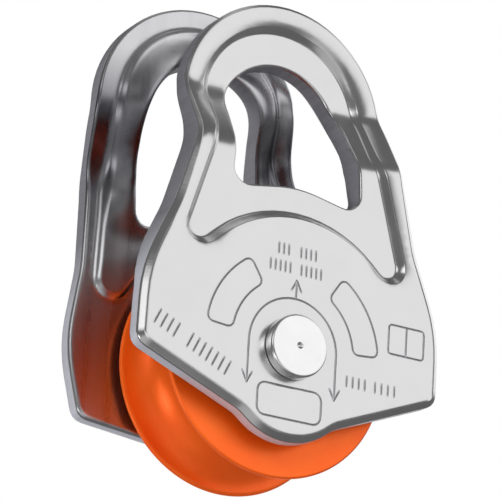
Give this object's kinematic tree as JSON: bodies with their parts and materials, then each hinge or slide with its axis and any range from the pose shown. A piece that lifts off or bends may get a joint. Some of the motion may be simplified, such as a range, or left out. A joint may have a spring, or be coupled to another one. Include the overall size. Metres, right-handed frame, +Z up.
{
  "type": "rope pulley",
  "caption": "Swing-cheek rope pulley: two stamped side plates with carabiner eyes turn on an axle that carries a grooved sheave on a ball bearing.",
  "frame": {"origin": "centre of the side plates' upper loops, midway between the two plates, where a carabiner holds the pulley", "axes": "+Z up, from the axle to the upper loops; Y along the axle, the fixed front plate at -Y and the swung rear plate at +Y; +X to the right seen from the front"},
  "size_m": [0.0507, 0.0268, 0.0712],
  "materials": {
    "plate_aluminium": "tumbled and polished stamped sheet",
    "sheave_orange": "orange anodised, satin, fine turning marks",
    "axle_steel": "turned and polished",
    "bearing_steel": "ground and polished",
    "sleeve_aluminium": "turned",
    "washer_polymer": "smooth black polymer",
    "cage_polymer": "moulded natural polyamide"
  },
  "bodies": {
    "front_plate": {"front_side_plate": "plate_aluminium"},
    "rear_plate": {"rear_side_plate": "plate_aluminium"},
    "axle": {"axle_pin": "axle_steel", "axle_rear_head": "axle_steel", "front_thrust_washer": "washer_polymer", "rear_thrust_washer": "washer_polymer", "front_spacer_sleeve": "sleeve_aluminium", "rear_spacer_sleeve": "sleeve_aluminium", "bearing_inner_ring": "bearing_steel"},
    "sheave": {"sheave": "sheave_orange", "bearing_outer_ring": "bearing_steel", "bearing_front_shield": "bearing_steel", "bearing_rear_shield": "bearing_steel"},
    "ball_cage": {"bearing_cage": "cage_polymer", "bearing_ball_1": "bearing_steel", "bearing_ball_2": "bearing_steel", "bearing_ball_3": "bearing_steel", "bearing_ball_4": "bearing_steel", "bearing_ball_5": "bearing_steel", "bearing_ball_6": "bearing_steel", "bearing_ball_7": "bearing_steel", "bearing_ball_8": "bearing_steel"}
  },
  "joints": [
    {"name": "rear_plate_swing", "type": "hinge", "parent": "front_plate", "child": "rear_plate", "pos_m": [0, 0, -0.0372], "axis": [0, 1, 0], "continuous": true},
    {"name": "axle_turn", "type": "hinge", "parent": "front_plate", "child": "axle", "pos_m": [0, 0, -0.0372], "axis": [0, 1, 0], "continuous": true},
    {"name": "sheave_spin", "type": "hinge", "parent": "axle", "child": "sheave", "pos_m": [0, 0, -0.0372], "axis": [0, 1, 0], "continuous": true},
    {"name": "cage_orbit", "type": "hinge", "parent": "axle", "child": "ball_cage", "pos_m": [0, 0, -0.0372], "axis": [0, 1, 0], "continuous": true}
  ],
  "couplings": [
    {"joint": "cage_orbit", "follows": "sheave_spin", "ratio": 0.6193}
  ]
}
